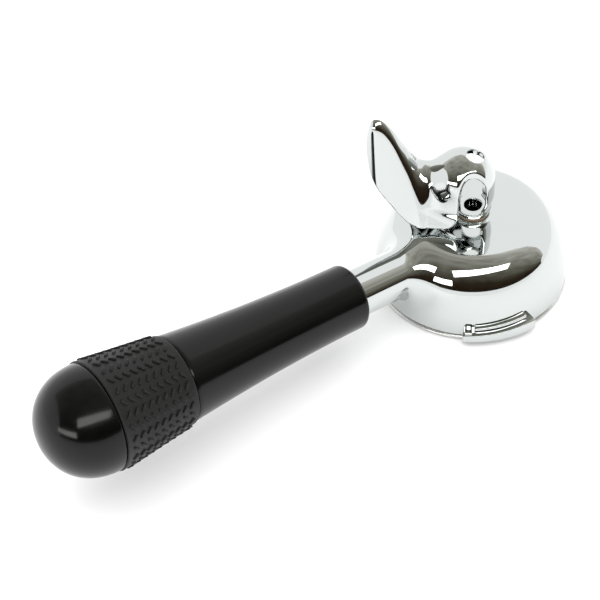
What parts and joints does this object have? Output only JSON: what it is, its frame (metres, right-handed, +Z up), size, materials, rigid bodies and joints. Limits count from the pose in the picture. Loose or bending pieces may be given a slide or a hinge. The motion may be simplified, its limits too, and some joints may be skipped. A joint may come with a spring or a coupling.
{
  "type": "espresso portafilter",
  "caption": "Espresso machine portafilter with a domed locking head, removable filter basket, screw-on open spout and tapered handle with a ribbed grip.",
  "frame": {"origin": "middle of the bounding box, on the surface that the basket's flange rests on", "axes": "+Z up with the portafilter upside down, spout up; the handle runs along -X and tilts up 6.5 degrees"},
  "size_m": [0.2145, 0.0762, 0.0712],
  "materials": {
    "chrome": "polished bright chrome plating",
    "basket_steel": "pressed stainless sheet, satin",
    "spring_steel": "drawn spring wire",
    "brass": "turned brass",
    "stud_steel": "machined steel stud",
    "handle_black": "gloss moulded phenolic",
    "grip_rubber": "matt ribbed rubber",
    "washer": "fibre sealing washer"
  },
  "bodies": {
    "head": {"head_body": "chrome", "basket_spring": "spring_steel", "handle_body": "handle_black", "grip_sleeve": "grip_rubber", "end_cap": "handle_black", "threaded_insert": "brass", "handle_stud": "stud_steel"},
    "basket": {"filter_basket": "basket_steel"},
    "washer": {"spout_washer": "washer"},
    "spout": {"spout": "chrome"}
  },
  "joints": [
    {"name": "basket_pull", "type": "slide", "parent": "head", "child": "basket", "axis": [0, 0, -1], "range_m": [0, 0.03]},
    {"name": "spout_turn", "type": "hinge", "parent": "head", "child": "washer", "pos_m": [0.07202, 0, 0.033], "axis": [0, 0, 1], "range_deg": [0, 3240]},
    {"name": "spout_lift", "type": "slide", "parent": "washer", "child": "spout", "axis": [0, 0, 1], "range_m": [0, 0.009]}
  ],
  "couplings": [
    {"joint": "spout_lift", "follows": "spout_turn", "m_per_rad": 0.00015915}
  ]
}
